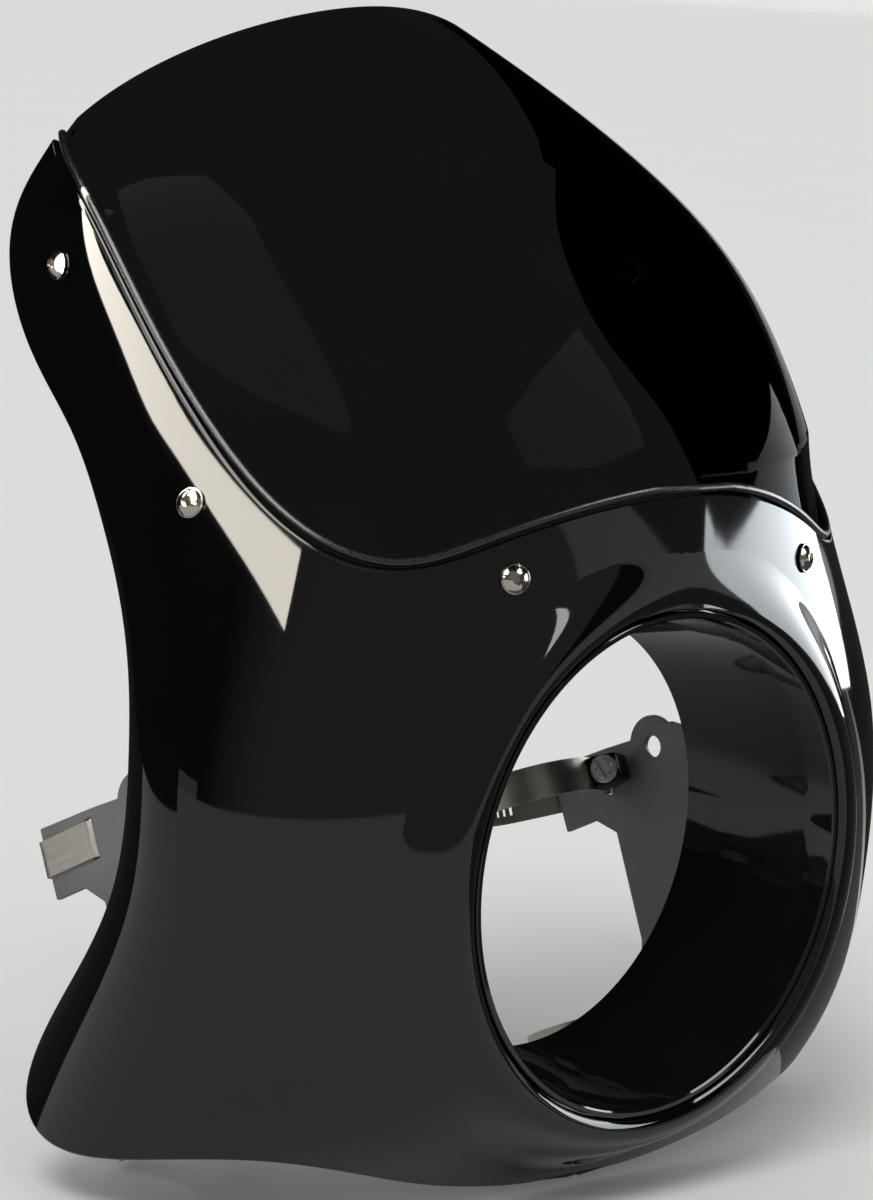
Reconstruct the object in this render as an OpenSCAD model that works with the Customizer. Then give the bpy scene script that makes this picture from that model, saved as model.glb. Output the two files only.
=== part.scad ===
// Headlight fairing for a motorcycle, with its tinted windshield and fork clamps.
// All sizes are in millimetres. +Z is up, the headlight looks along -Y, and the
// part is mirrored about X = 0. The origin is the middle of the headlight
// opening, in the plane of its rolled lip.

/* [Shell] */
// Widest part of the shell, across the flanks
shell_w = 362; // [300:1:420]
// Nose to the tips of the upper arms, as the section lines are drawn
shell_d = 240; // [200:1:280]
// Chin to the tips of the upper arms, as the section lines are drawn
shell_h = 373; // [320:1:430]
// Moulded wall
wall = 3; // [2:0.1:4]
// Headlight opening, inside the rolled lip
opening_d = 190; // [160:1:200]
// Roundness of the rolled lip round the opening
lip_r = 4.5; // [3:0.1:7]
// How far the collar behind the lip reaches in
collar_l = 9; // [6:0.5:14]

/* [Windshield] */
// Thickness of the tinted sheet
shield_t = 3; // [2:0.1:4]
// Width of the sheet's border under the shell
flange_w = 18; // [14:0.5:20]
// Air between the sheet and the shell
seat_gap = 0.5; // [0.4:0.05:0.9]
// Width of the rubber bead along the shell's edge
trim_w = 3.4; // [2:0.1:5]

/* [Headlight sleeve] */
// Length from the lip to the rear rim
sleeve_l = 69.5; // [40:0.5:90]
// Inside diameter at the rear rim
sleeve_rear_d = 168.6; // [150:0.2:180]
// Sleeve wall
sleeve_t = 2.5; // [1.5:0.1:4]

/* [Windshield screws] */
// Thread size
screw_d = 6.3; // [5:0.1:7]
// Button head diameter
head_d = 11.1; // [9:0.1:13]
// Button head height
head_h = 3.4; // [2.5:0.1:4.5]
// Hexagon socket across the flats
socket_af = 4; // [3:0.1:5]
// Length under the head
screw_l = 17; // [15:0.5:22]
// Nut across the flats
nut_af = 11.1; // [9:0.1:13]
// Nut thickness
nut_h = 5; // [3:0.1:6]
// Washer diameter
washer_d = 14; // [11:0.1:17]
// Washer thickness
washer_t = 1.2; // [0.8:0.1:2]

/* [Fork and brackets] */
// Fork tube that the clamps close on
tube_d = 54; // [49:0.5:58]
// Distance between the two fork tubes
fork_gap = 214; // [206:1:222]
// Fork axis behind the lip, at the upper clamp
fork_y = 177; // [165:1:190]
// Height of the upper clamp
fork_z = -17; // [-30:1:0]
// Rake of the fork, from upright
rake = 27; // [22:0.5:32]
// Distance between the upper and lower clamps, along the fork
clamp_gap = 105; // [95:1:115]
// Bracket sheet
plate_t = 2.5; // [2:0.1:4]
// Half the width of an arm's band loop, and how far fore its slot lies
slot_at = 15; // [12:0.5:18]

/* [Bands] */
// Band width
band_w = 14; // [10:0.5:16]
// Band thickness
band_t = 1; // [0.7:0.1:1.5]
// Length of the worm housing
housing_l = 14; // [10:0.5:16]
// Height of the worm housing above its band
housing_h = 12; // [10:0.5:14]
// Worm screw head diameter
worm_head_d = 11.6; // [9:0.2:12]

/* [Bosses] */
// Boss diameter
boss_d = 16; // [12:0.5:20]
// Screw that holds a bracket to its boss
boss_screw_d = 5; // [4:0.5:6]
// Length of that screw
boss_screw_l = 18; // [12:1:26]

/* [Hidden] */
$fn = 48;
far = 400;
slack = 0.2;
sx = shell_w / 362;
sy = shell_d / 240;
sz = shell_h / 373;

// Section lines of the shell every 60 up from z = -200: how far back the nose
// lies, how deep the half section is, and how wide.
sec_z0 = -200;
sec_dz = 60;
nose = [116, 43, -8, -13, -6, -2, -2, -18, -50, -86];
deep = [92, 96, 111, 90, 82, 103, 164, 183, 159, 129];
half = [194, 187, 187, 178, 181, 162, 156, 159, 136, 112];

// The same for the windshield bubble, every 40 up from z = 60.
sh_z0 = 60;
sh_dz = 40;
sh_nose = [-8, -8, -4, 19, 57, 97, 169, 262, 362];
sh_deep = [141, 138, 138, 136, 130, 131, 139, 150, 160];
sh_half = [182, 172, 155, 155, 157, 117, 83, 44, 10];

// Side view [y, z]: the edge under the windshield, the edge down the arm and
// flank, the lower edge, and the windshield's free edge.
edge_top = [[-3, 140], [17, 121], [32, 105], [73, 128], [119, 172], [156, 224], [214, 247]];
edge_rear = [[214, 247], [229, 214], [202, 170], [164, 146], [144, 118], [126, 90], [108, 62],
             [99, 30], [102, -8], [122, -42], [149, -74], [143, -98], [112, -112], [78, -106],
             [52, -102], [38, -108], [35, -126]];
edge_free = [[217, 243], [213, 264], [196, 290], [176, 306]];

// Places [y, z] of the windshield screws on each side, and [fore, up] of the
// two bosses in the bracket's own frame.
screw_at = [[178, 203], [96, 127], [11, 109]];
boss_at = [[88, -17], [45, -80]];

ring_r = opening_d / 2;
tube_r = tube_d / 2;
plate_x = tube_r + seat_gap;
plate_out = plate_x + plate_t;
strap_x = plate_out + slack;
screw_r = screw_d / 2;
hole_r = screw_r + 0.35;
under = wall + seat_gap + shield_t;

// Smooth curve through a list of controls: value at t, with t = 1 at the second.
function blend(c, t) =
    let (u = max(1, min(t, len(c) - 2.001)), i = floor(u), f = u - i)
    ((1 - f) * (1 - f) * (1 - f) * c[i - 1] + (3 * f * f * f - 6 * f * f + 4) * c[i]
     + (3 * f * (1 + f - f * f) + 1) * c[i + 1] + f * f * f * c[i + 2 > len(c) - 1 ? i + 1 : i + 2]) / 6;

// Open curve that starts and ends on its first and last controls.
function open_curve(c, n) =
    let (k = len(c), e = concat([2 * c[0] - c[1]], c, [2 * c[k - 1] - c[k - 2]]))
    [for (i = [0:n]) blend(e, 1 + (k - 1.001) * i / n)];

function drawn(c) = [for (p = c) [p[0] * sy, p[1] * sz]];

// The shell's section at height z: centre line y, depth and half width.
function sh_t(z) = (z / sz - sec_z0) / sec_dz;
function nose_y(z) = sy * blend(nose, sh_t(z));
function depth(z) = sy * blend(deep, sh_t(z));
function width(z) = sx * blend(half, sh_t(z));
function mid_y(z) = nose_y(z) + depth(z);
function slope(a, b, h) = sqrt(1 + pow((b - a) / h, 2));
function skin(z, cut) =
    [mid_y(z),
     depth(z) - cut * slope(nose_y(z - 2), nose_y(z + 2), 4),
     width(z) - cut * slope(width(z - 2), width(z + 2), 4)];

// The windshield's section at height z.
function wt(z) = (z / sz - sh_z0) / sh_dz;
function w_nose(z) = sy * blend(sh_nose, wt(z));
function w_half(z) = sx * blend(sh_half, wt(z));
function bubble(z, cut) =
    [w_nose(z) + sy * blend(sh_deep, wt(z)),
     sy * blend(sh_deep, wt(z)) - cut * slope(w_nose(z - 2), w_nose(z + 2), 4),
     w_half(z) - cut * slope(w_half(z - 2), w_half(z + 2), 4)];

// A point of the shell's outer face at [y, z], and the direction square to it.
function side_x(y, z) = width(z) * sqrt(max(0, 1 - pow((mid_y(z) - y) / depth(z), 2)));
function on_shell(y, z) = [side_x(y, z), y, z];
function level(p, z) = pow(p[0] / width(z), 2) + pow((mid_y(z) - p[1]) / depth(z), 2);
function square_to(p) =
    let (z = p[2],
         g = [2 * p[0] / pow(width(z), 2), -2 * (mid_y(z) - p[1]) / pow(depth(z), 2),
              level(p, z + 1) / 2 - level(p, z - 1) / 2])
    g / norm(g);

// Closed solid through a stack of half-oval sections.
module stack(z_low, z_top, n, kind, cut) {
    turn = 152;
    m = 30;
    h = [for (i = [0:n]) z_low + (z_top - z_low) * i / n];
    pts = [for (z = h) let (s = kind == "shell" ? skin(z, cut) : bubble(z, cut))
           for (j = [0:m]) let (a = turn * (2 * j / m - 1))
           [s[2] * sin(a), s[0] - s[1] * cos(a), z]];
    w = m + 1;
    sides = [for (i = [0:n - 1]) for (j = [0:m]) let (k = (j + 1) % w)
             each [[i * w + j, (i + 1) * w + j, (i + 1) * w + k],
                   [i * w + j, (i + 1) * w + k, i * w + k]]];
    low = [for (j = [0:m]) j];
    top = [for (j = [m:-1:0]) n * w + j];
    polyhedron(points = pts, faces = concat([low], sides, [top]), convexity = 6);
}

// Side outline pushed right across the part.
module across() {
    rotate([90, 0, 90]) linear_extrude(height = far, center = true) children();
}

// Put something at a point with its Z along the given direction.
module aim(p, d) {
    translate(p) rotate([0, acos(d[2] / norm(d)), atan2(d[1], d[0])]) children();
}

module both() {
    children();
    mirror([1, 0, 0]) children();
}

// Frame of the fork on the right-hand side: X outboard, Y forward, Z up the tube.
module fork_frame() {
    translate([fork_gap / 2, fork_y, fork_z]) rotate([-rake, 0, 0]) mirror([0, 1, 0]) children();
}

function fork_to_part(v) =
    [fork_gap / 2 + v[0],
     fork_y - v[1] * cos(rake) + v[2] * sin(rake),
     fork_z + v[1] * sin(rake) + v[2] * cos(rake)];

shell_outline = concat([[-60, drawn(edge_top)[0][1]]],
                       open_curve(drawn(edge_top), 40),
                       open_curve(drawn(edge_rear), 84),
                       [[-60, drawn(edge_rear)[len(edge_rear) - 1][1]]]);

function pushed(c, by) =
    [for (i = [0:len(c) - 1])
     let (a = c[max(0, i - 1)], b = c[min(len(c) - 1, i + 1)], d = (b - a) / norm(b - a))
     c[i] + by * [d[1], -d[0]]];

top_curve = open_curve(drawn(edge_top), 40);
shield_outline = concat([[-60, top_curve[0][1]]], top_curve,
                        open_curve(drawn(edge_free), 14), [[-60, drawn(edge_free)[3][1]]]);

// Round-ended strip of the side view along a curve.
module strip(c, r) {
    for (i = [0:len(c) - 2]) hull() {
        translate(c[i]) circle(r = r, $fn = 16);
        translate(c[i + 1]) circle(r = r, $fn = 16);
    }
}

module shield_area() {
    polygon(shield_outline);
    strip([for (i = [0:3:36]) top_curve[i]], flange_w);
}

module screw_places() {
    both() for (s = screw_at) let (p = on_shell(s[0] * sy, s[1] * sz)) aim(p, square_to(p)) children();
}

// How long a boss is drawn: right through the flank, which then trims it.
function boss_root(b) =
    let (p = fork_to_part([plate_out, b[0], b[1]]))
    side_x(p[1], p[2]) + boss_d / 2 - p[0];

module boss(b) {
    p = fork_to_part([plate_out, b[0], b[1]]);
    l = boss_root(b);
    translate(p) rotate([0, 90, 0]) {
        cylinder(h = l, r1 = boss_d / 2, r2 = boss_d / 2 + 1.5, $fn = 28);
        for (a = [45:90:315]) rotate(a) hull() {
            translate([boss_d / 2 - 1.5, -1, l * 0.35]) cube([1, 2, l * 0.65]);
            translate([boss_d / 2 - 1.5, -1, l - 12]) cube([7, 2, 12]);
        }
    }
}

module boss_hole(b) {
    translate(fork_to_part([plate_out - 1, b[0], b[1]])) rotate([0, 90, 0])
        cylinder(h = boss_screw_l + 2, d = boss_screw_d + 2 * slack, $fn = 20);
}

// Rolled lip with the collar that takes the sleeve.
module lip() {
    rotate([-90, 0, 0]) rotate_extrude($fn = 64) {
        translate([ring_r + lip_r - 0.4, lip_r - 3]) circle(r = lip_r, $fn = 16);
        translate([ring_r - 1, lip_r - 3]) square([wall + 1, collar_l]);
    }
}

module shell() color([0.03, 0.03, 0.035]) {
    z_low = -130 * sz;
    z_top = 256 * sz;
    difference() {
        union() {
            intersection() {
                difference() {
                    stack(z_low, z_top, 28, "shell", 0);
                    stack(z_low - 14, z_top + 14, 30, "shell", wall);
                }
                across() polygon(shell_outline);
            }
            lip();
            intersection() {
                both() for (b = boss_at) boss(b);
                stack(z_low, z_top, 28, "shell", wall / 2);
            }
        }
        rotate([90, 0, 0]) cylinder(h = 90, r = ring_r, center = true, $fn = 64);
        both() for (b = boss_at) boss_hole(b);
        screw_places() cylinder(h = 40, r = hole_r, center = true, $fn = 20);
    }
}

module windshield() color([0.2, 0.21, 0.22]) {
    z_low = 70 * sz;
    z_top = 318 * sz;
    difference() {
        intersection() {
            stack(z_low, z_top, 26, "bubble", 0);
            stack(z_low, z_top, 26, "shell", wall + seat_gap);
            across() shield_area();
        }
        intersection() {
            stack(z_low - 1, z_top + 1, 26, "bubble", shield_t);
            stack(z_low - 1, z_top + 1, 26, "shell", under);
        }
        // slotted holes, because the sheet grows and shrinks with the weather
        screw_places() hull() for (e = [-1, 1]) translate([0, 1.5 * e, -30])
            cylinder(h = 60, r = hole_r, $fn = 18);
    }
}

module headlight_sleeve() color([0.05, 0.05, 0.055]) {
    r_out = ring_r - seat_gap;
    r_rear = sleeve_rear_d / 2;
    front = -1;
    seat = lip_r - 3 + collar_l;
    rotate([-90, 0, 0]) rotate_extrude($fn = 96) polygon([
        [r_out - sleeve_t, front], [r_out, front], [r_out, seat],
        [r_rear + sleeve_t, front + sleeve_l], [r_rear, front + sleeve_l], [r_out - sleeve_t, seat]]);
}

// Rubber bead that carries the shell's face on past its edge, over the windshield.
module edge_trim() color([0.02, 0.02, 0.02]) {
    z_low = 96 * sz;
    z_top = 258 * sz;
    intersection() {
        difference() {
            stack(z_low, z_top, 18, "shell", wall / 4);
            stack(z_low - 1, z_top + 1, 18, "shell", wall + seat_gap / 3);
        }
        across() strip([for (i = [0:2:40]) pushed(top_curve, -seat_gap - trim_w / 2)[i]], trim_w / 2);
    }
}

module button_screw() {
    dome = (pow(head_d / 2, 2) + head_h * head_h) / (2 * head_h);
    difference() {
        union() {
            translate([0, 0, slack]) intersection() {
                cylinder(h = head_h, d = head_d);
                translate([0, 0, head_h - dome]) sphere(r = dome, $fn = 64);
            }
            translate([0, 0, slack - screw_l]) cylinder(h = screw_l + 0.5, r = screw_r);
        }
        translate([0, 0, head_h + slack - 2]) cylinder(h = 3, d = socket_af / cos(30), $fn = 6);
    }
}

module shield_screws() color([0.75, 0.75, 0.76]) screw_places() button_screw();

module shield_washers() color([0.1, 0.1, 0.1]) screw_places()
    translate([0, 0, -under - 1 - washer_t]) difference() {
        cylinder(h = washer_t, d = washer_d);
        translate([0, 0, -1]) cylinder(h = washer_t + 2, r = hole_r);
    }

module shield_nuts() color([0.7, 0.7, 0.7]) screw_places()
    translate([0, 0, -under - 1.1 - washer_t - nut_h]) difference() {
        cylinder(h = nut_h, d = nut_af / cos(30), $fn = 6);
        translate([0, 0, -1]) cylinder(h = nut_h + 2, r = screw_r + 0.1);
    }

// Loop of one clamp: an arc round the tube and two straight runs to the slots, like a D.
loop_a = atan2(slot_at, strap_x) + acos(tube_r / norm([strap_x, slot_at]));
function loop_end(grow) = (tube_r + grow) * [cos(loop_a), sin(loop_a)];
function loop_corner(grow) =
    [strap_x, slot_at] + grow * [1 + cos(loop_a), sin(loop_a)] / (1 + cos(loop_a));
function mirrored(v) = [v[0], -v[1]];

// The straight run of the band that carries the worm housing.
run_a = loop_end(band_t);
run_b = loop_corner(band_t);
run_dir = (run_a - run_b) / norm(run_a - run_b);
run_out = [run_dir[1], -run_dir[0]] * (run_dir[1] * run_a[0] - run_dir[0] * run_a[1] > 0 ? 1 : -1);
worm_on = (strap_x + band_t - plate_x + seat_gap + housing_h * abs(run_out[0])) / abs(run_dir[0]);
worm_mid = run_b + run_dir * (housing_l / 2 + worm_on) + run_out * (housing_h / 2 + slack);

module clamp_band(down) {
    out = [loop_end(band_t), loop_corner(band_t)];
    in = [loop_corner(0), loop_end(0)];
    translate([0, 0, -down - band_w / 2]) {
        rotate([0, 0, loop_a]) rotate_extrude(angle = 360 - 2 * loop_a, $fn = 96)
            translate([tube_r, 0]) square([band_t, band_w]);
        linear_extrude(height = band_w) polygon([out[0], out[1], mirrored(out[1]), mirrored(out[0]),
            mirrored(in[1]), mirrored(in[0]), in[0], in[1]]);
    }
}

// Put something on the run: X along it towards the front, Y away from the band.
module on_run(down) {
    translate([worm_mid[0], worm_mid[1], -down])
        multmatrix([[run_dir[0], run_out[0], 0, 0], [run_dir[1], run_out[1], 0, 0],
                    [0, 0, 1, 0], [0, 0, 0, 1]]) children();
}

module worm_housing(down) {
    on_run(down) difference() {
        translate([-housing_l / 2, -housing_h / 2, -band_w / 2]) cube([housing_l, housing_h, band_w]);
        rotate([0, 90, 0]) cylinder(h = housing_l + 2, r = housing_h / 2 - 1, center = true);
    }
}

module worm_screw(down) {
    on_run(down) rotate([0, 90, 0]) {
        translate([0, 0, -housing_l / 2]) cylinder(h = housing_l + slack, r = housing_h / 2 - 1.2);
        difference() {
            translate([0, 0, housing_l / 2 + slack]) union() {
                cylinder(h = 1.4, d = worm_head_d);
                cylinder(h = 4.4, d = 8 / cos(30), $fn = 6);
            }
            translate([-far, -0.6, housing_l / 2 + slack + 3.2]) cube([2 * far, 1.2, 2]);
        }
    }
}

// Flat bracket: two arms inside the bands' loops, and a spine with its lobes.
module plate_outline() {
    low = -clamp_gap;
    end = 0.8 - slot_at;
    polygon([[end, 12], [20, 11], [36, 10], [60, 11], [boss_at[0][0] + 4, -7],
             [boss_at[0][0] + 6, -26], [boss_at[1][0] + 11, boss_at[1][1]],
             [boss_at[1][0] + 2, boss_at[1][1] - 10], [30, low - 12], [end, low - 12],
             [end, low + 15], [4, low + 15], [12, -70], [14, -24], [4, -16], [end, -16]]);
}

spare_at = [47, 4];

module bracket() {
    translate([plate_x, 0, 0]) rotate([90, 0, 90]) difference() {
        union() {
            linear_extrude(height = plate_t) plate_outline();
            translate(spare_at) cylinder(h = plate_t, r = 13);
            for (b = boss_at) translate(b) cylinder(h = plate_t, r = 11);
        }
        translate([0, 0, -1]) {
            translate(spare_at) cylinder(h = plate_t + 2, r = 4.5);
            for (b = boss_at) translate(b) cylinder(h = plate_t + 2, r = boss_screw_d / 2 + 0.4);
            for (z = [0, -clamp_gap]) translate([slot_at + band_t / 2 - 2, z - band_w / 2 - 0.8, 0])
                cube([4, band_w + 1.6, plate_t + 2]);
        }
    }
}

module bracket_right() color([0.45, 0.45, 0.46]) fork_frame() bracket();
module bracket_left() color([0.45, 0.45, 0.46]) mirror([1, 0, 0]) fork_frame() bracket();

module band_upper_right() color([0.7, 0.7, 0.7]) fork_frame() clamp_band(0);
module band_upper_left() color([0.7, 0.7, 0.7]) mirror([1, 0, 0]) fork_frame() clamp_band(0);
module band_lower_right() color([0.7, 0.7, 0.7]) fork_frame() clamp_band(clamp_gap);
module band_lower_left() color([0.7, 0.7, 0.7]) mirror([1, 0, 0]) fork_frame() clamp_band(clamp_gap);

module housing_upper_right() color([0.6, 0.6, 0.6]) fork_frame() worm_housing(0);
module housing_upper_left() color([0.6, 0.6, 0.6]) mirror([1, 0, 0]) fork_frame() worm_housing(0);
module housing_lower_right() color([0.6, 0.6, 0.6]) fork_frame() worm_housing(clamp_gap);
module housing_lower_left() color([0.6, 0.6, 0.6]) mirror([1, 0, 0]) fork_frame() worm_housing(clamp_gap);

module worm_screws() color([0.8, 0.8, 0.8]) both() for (d = [0, clamp_gap]) fork_frame() worm_screw(d);

// Screws that hold the brackets to the shell's bosses, with their washers.
module bracket_screws() color([0.7, 0.7, 0.7]) both() for (b = boss_at) fork_frame()
    translate([plate_x - washer_t - 2 * slack, b[0], b[1]]) rotate([0, 90, 0]) difference() {
        union() {
            translate([0, 0, -3]) cylinder(h = 3, d = 9);
            translate([0, 0, -0.5]) cylinder(h = boss_screw_l, d = boss_screw_d);
        }
        translate([0, 0, -4]) cylinder(h = 3, d = 4 / cos(30), $fn = 6);
    }

module bracket_washers() color([0.7, 0.7, 0.7]) both() for (b = boss_at) fork_frame()
    translate([plate_x - washer_t - slack, b[0], b[1]]) rotate([0, 90, 0]) difference() {
        cylinder(h = washer_t, d = 14);
        translate([0, 0, -1]) cylinder(h = washer_t + 2, d = boss_screw_d + 0.8);
    }

shell();
windshield();
headlight_sleeve();
edge_trim();
shield_screws();
shield_washers();
shield_nuts();
bracket_left();
bracket_right();
band_upper_left();
band_upper_right();
band_lower_left();
band_lower_right();
housing_upper_left();
housing_upper_right();
housing_lower_left();
housing_lower_right();
worm_screws();
bracket_screws();
bracket_washers();
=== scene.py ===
# %% [markdown]
# # A headlight fairing, dressed for its portrait
#
# The object is the small nose fairing of a café-style motorcycle: a moulded black
# shell, a smoked windshield bolted behind its upper edge, a black sleeve round the
# headlight, and two brackets that are strapped to the fork legs.
#
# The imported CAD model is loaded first, as a frame of fixed sizes. Every piece made
# below sits on that frame, so the picture and the solids keep the same dimensions.

# %% Load the frame
import math

import bpy
import numpy as np
from mathutils import Matrix, Vector


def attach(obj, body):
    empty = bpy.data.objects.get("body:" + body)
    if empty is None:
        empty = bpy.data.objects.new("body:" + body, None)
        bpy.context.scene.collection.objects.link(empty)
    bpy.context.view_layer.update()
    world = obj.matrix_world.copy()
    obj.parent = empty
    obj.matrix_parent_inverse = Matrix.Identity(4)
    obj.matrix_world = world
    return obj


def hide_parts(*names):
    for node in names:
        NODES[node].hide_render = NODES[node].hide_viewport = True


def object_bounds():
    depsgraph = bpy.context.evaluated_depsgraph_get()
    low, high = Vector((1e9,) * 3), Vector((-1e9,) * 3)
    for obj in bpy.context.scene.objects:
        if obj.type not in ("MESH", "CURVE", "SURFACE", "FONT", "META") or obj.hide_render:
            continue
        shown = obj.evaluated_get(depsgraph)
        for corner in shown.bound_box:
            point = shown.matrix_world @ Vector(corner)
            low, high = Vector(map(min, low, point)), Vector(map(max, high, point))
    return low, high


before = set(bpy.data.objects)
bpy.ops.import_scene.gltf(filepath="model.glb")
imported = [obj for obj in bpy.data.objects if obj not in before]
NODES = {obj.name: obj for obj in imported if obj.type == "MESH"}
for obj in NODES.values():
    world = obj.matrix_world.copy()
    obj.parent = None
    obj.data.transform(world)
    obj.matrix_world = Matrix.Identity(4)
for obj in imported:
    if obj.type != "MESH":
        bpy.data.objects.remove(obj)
CAD_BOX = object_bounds()
MM = 0.001
print("CAD nodes:", len(NODES), "box:", CAD_BOX)

# %% [markdown]
# ## The camera
#
# The photographer stood a little to the left of the fairing and just above it, with a
# long lens. A camera could be placed by eye, but the curves of a fairing give it away:
# a few degrees too far round and the headlight hole has the wrong oval. So its place
# was worked out from the corners and rims in the photograph, and is written here as a
# direction, a distance and a small tilt of the frame.

# %% Camera
AZIMUTH, ELEVATION, ROLL = (math.radians(a) for a in (-43.40, 8.83, 3.93))
DISTANCE, FOCAL_PX = 1467.5, 4001.9
SIDEWAYS, UPWARDS = 83.06, -97.58
SENSOR, PHOTO_HEIGHT_PX = 36, 1200

back = Vector((math.sin(AZIMUTH) * math.cos(ELEVATION),
               -math.cos(AZIMUTH) * math.cos(ELEVATION), math.sin(ELEVATION)))
level_right = Vector((math.cos(AZIMUTH), math.sin(AZIMUTH), 0))
level_up = back.cross(level_right)
right = level_right * math.cos(ROLL) + level_up * math.sin(ROLL)
up = level_up * math.cos(ROLL) - level_right * math.sin(ROLL)

bpy.ops.object.select_all(action="DESELECT")
bpy.ops.object.camera_add()
camera = bpy.context.object
camera.name = "camera"
camera.matrix_world = Matrix((right, up, back)).transposed().to_4x4()
camera.location = (back * DISTANCE - right * SIDEWAYS - up * UPWARDS) * MM
camera.data.sensor_width = SENSOR
camera.data.lens = FOCAL_PX / PHOTO_HEIGHT_PX * SENSOR
camera.data.clip_end = 500
bpy.context.scene.camera = camera
print("camera at", [round(c, 3) for c in camera.location], "lens", round(camera.data.lens, 1), "mm")

# %% [markdown]
# ## The shape of the shell, as numbers
#
# A moulded fairing starts as a plug that is shaped from a few cross sections. The same
# is done here: at any height the shell is half an oval, with a nose that lies somewhere
# along Y, a depth and a half width. Ten values of each, 60 mm apart, are joined by a
# smooth curve. The side view is drawn in the same way, as controls of smooth curves.

# %% Section lines
NOSE = [116, 43, -8, -13, -6, -2, -2, -18, -50, -86]
DEPTH = [92, 96, 111, 90, 82, 103, 164, 183, 159, 129]
HALF = [194, 187, 187, 178, 181, 162, 156, 159, 136, 112]
SHIELD_NOSE = [-8, -8, -4, 19, 57, 97, 169, 262, 362]
SHIELD_DEPTH = [141, 138, 138, 136, 130, 131, 139, 150, 160]
SHIELD_HALF = [182, 172, 155, 155, 157, 117, 83, 44, 10]
EDGE_TOP = [(-3, 140), (17, 121), (32, 105), (73, 128), (119, 172), (156, 224), (214, 247)]
EDGE_REAR = [(214, 247), (229, 214), (202, 170), (164, 146), (144, 118), (126, 90), (108, 62),
             (99, 30), (102, -8), (122, -42), (149, -74), (143, -98), (112, -112), (78, -106),
             (52, -102), (38, -108), (35, -126)]
EDGE_FREE = [(217, 243), (213, 264), (196, 290), (176, 306)]
WALL, SHEET, SEAT = 3.0, 3.0, 0.5
BEFORE_NOSE = -60


def smooth_value(controls, t):
    """Value at t of the smooth curve through a list of controls."""
    c = np.asarray(controls, float)
    u = np.clip(t, 1, len(c) - 2.001)
    i = np.floor(u).astype(int)
    f = u - i
    last = np.minimum(i + 2, len(c) - 1)
    return ((1 - f) ** 3 * c[i - 1] + (3 * f ** 3 - 6 * f ** 2 + 4) * c[i]
            + (3 * f * (1 + f - f * f) + 1) * c[i + 1] + f ** 3 * c[last]) / 6


def open_curve(controls, n):
    """Points of a smooth curve that starts and ends on its outer controls."""
    c = np.asarray(controls, float)
    c = np.vstack([2 * c[0] - c[1], c, 2 * c[-1] - c[-2]])
    t = 1 + (len(c) - 2 - 1.001) * np.arange(n + 1) / n
    return np.stack([smooth_value(c[:, k], t) for k in (0, 1)], axis=1)


def section(z, kind="shell", cut=0.0):
    """Middle, depth and half width in mm of the oval at height z, taken in by cut."""
    tables, z0, dz = {"shell": ((NOSE, DEPTH, HALF), -200, 60),
                      "shield": ((SHIELD_NOSE, SHIELD_DEPTH, SHIELD_HALF), 60, 40)}[kind]
    nose, deep, half = (lambda h, table=table: smooth_value(table, (h - z0) / dz) for table in tables)
    z = np.asarray(z, float)
    lean = np.sqrt(1 + ((nose(z + 2) - nose(z - 2)) / 4) ** 2)
    flare = np.sqrt(1 + ((half(z + 2) - half(z - 2)) / 4) ** 2)
    return nose(z) + deep(z), deep(z) - cut * lean, half(z) - cut * flare


def reach(y, z, kind="shell", cut=0.0):
    """How far out in X the surface is at [y, z]."""
    middle, deep, half = section(z, kind, cut)
    return half * np.sqrt(np.maximum(0, 1 - ((middle - y) / deep) ** 2))


def square_to(p, kind="shell", cut=0.0):
    """Signed distance from the surface, and the direction square to it, for points in mm."""
    p = np.atleast_2d(p)

    def level(z):
        middle, deep, half = section(z, kind, cut)
        return (p[:, 0] / half) ** 2 + ((middle - p[:, 1]) / deep) ** 2

    middle, deep, half = section(p[:, 2], kind, cut)
    g = np.stack([2 * p[:, 0] / half ** 2, -2 * (middle - p[:, 1]) / deep ** 2,
                  level(p[:, 2] + 0.5) - level(p[:, 2] - 0.5)], axis=1)
    size = np.linalg.norm(g, axis=1)
    return (level(p[:, 2]) - 1) / size, g / size[:, None]


top_curve = open_curve(EDGE_TOP, 80)
rear_curve = open_curve(EDGE_REAR, 168)
free_curve = open_curve(EDGE_FREE, 28)
print("half width at the opening:", round(float(section(0)[2]), 1), "mm")

# %% [markdown]
# ## Small helpers for the bench
#
# Three jobs come back for every piece: a clean start with nothing selected, a lathe for
# round things, and one piece cut with another. They are written once. Each takes what
# Blender's own menus do by hand: select, extrude, spin and a Boolean modifier.

# %% Helpers
def clear():
    """Back to object mode, with nothing selected."""
    if bpy.context.object and bpy.context.object.mode != "OBJECT":
        bpy.ops.object.mode_set(mode="OBJECT")
    bpy.ops.object.select_all(action="DESELECT")


def pick(piece):
    """Selects one piece alone and makes it active."""
    clear()
    piece.select_set(True)
    bpy.context.view_layer.objects.active = piece
    return piece


def apply_place(piece):
    """Moves a piece's place, turn and size into its mesh."""
    pick(piece)
    bpy.ops.object.transform_apply(location=True, rotation=True, scale=True)
    return piece


def cut(piece, tool, operation="DIFFERENCE"):
    """Shapes a piece with another one, which is then thrown away."""
    modifier = pick(piece).modifiers.new("cut", "BOOLEAN")
    modifier.operation, modifier.solver, modifier.object = operation, "EXACT", tool
    bpy.ops.object.modifier_apply(modifier=modifier.name)
    bpy.data.objects.remove(tool)
    return piece


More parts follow.
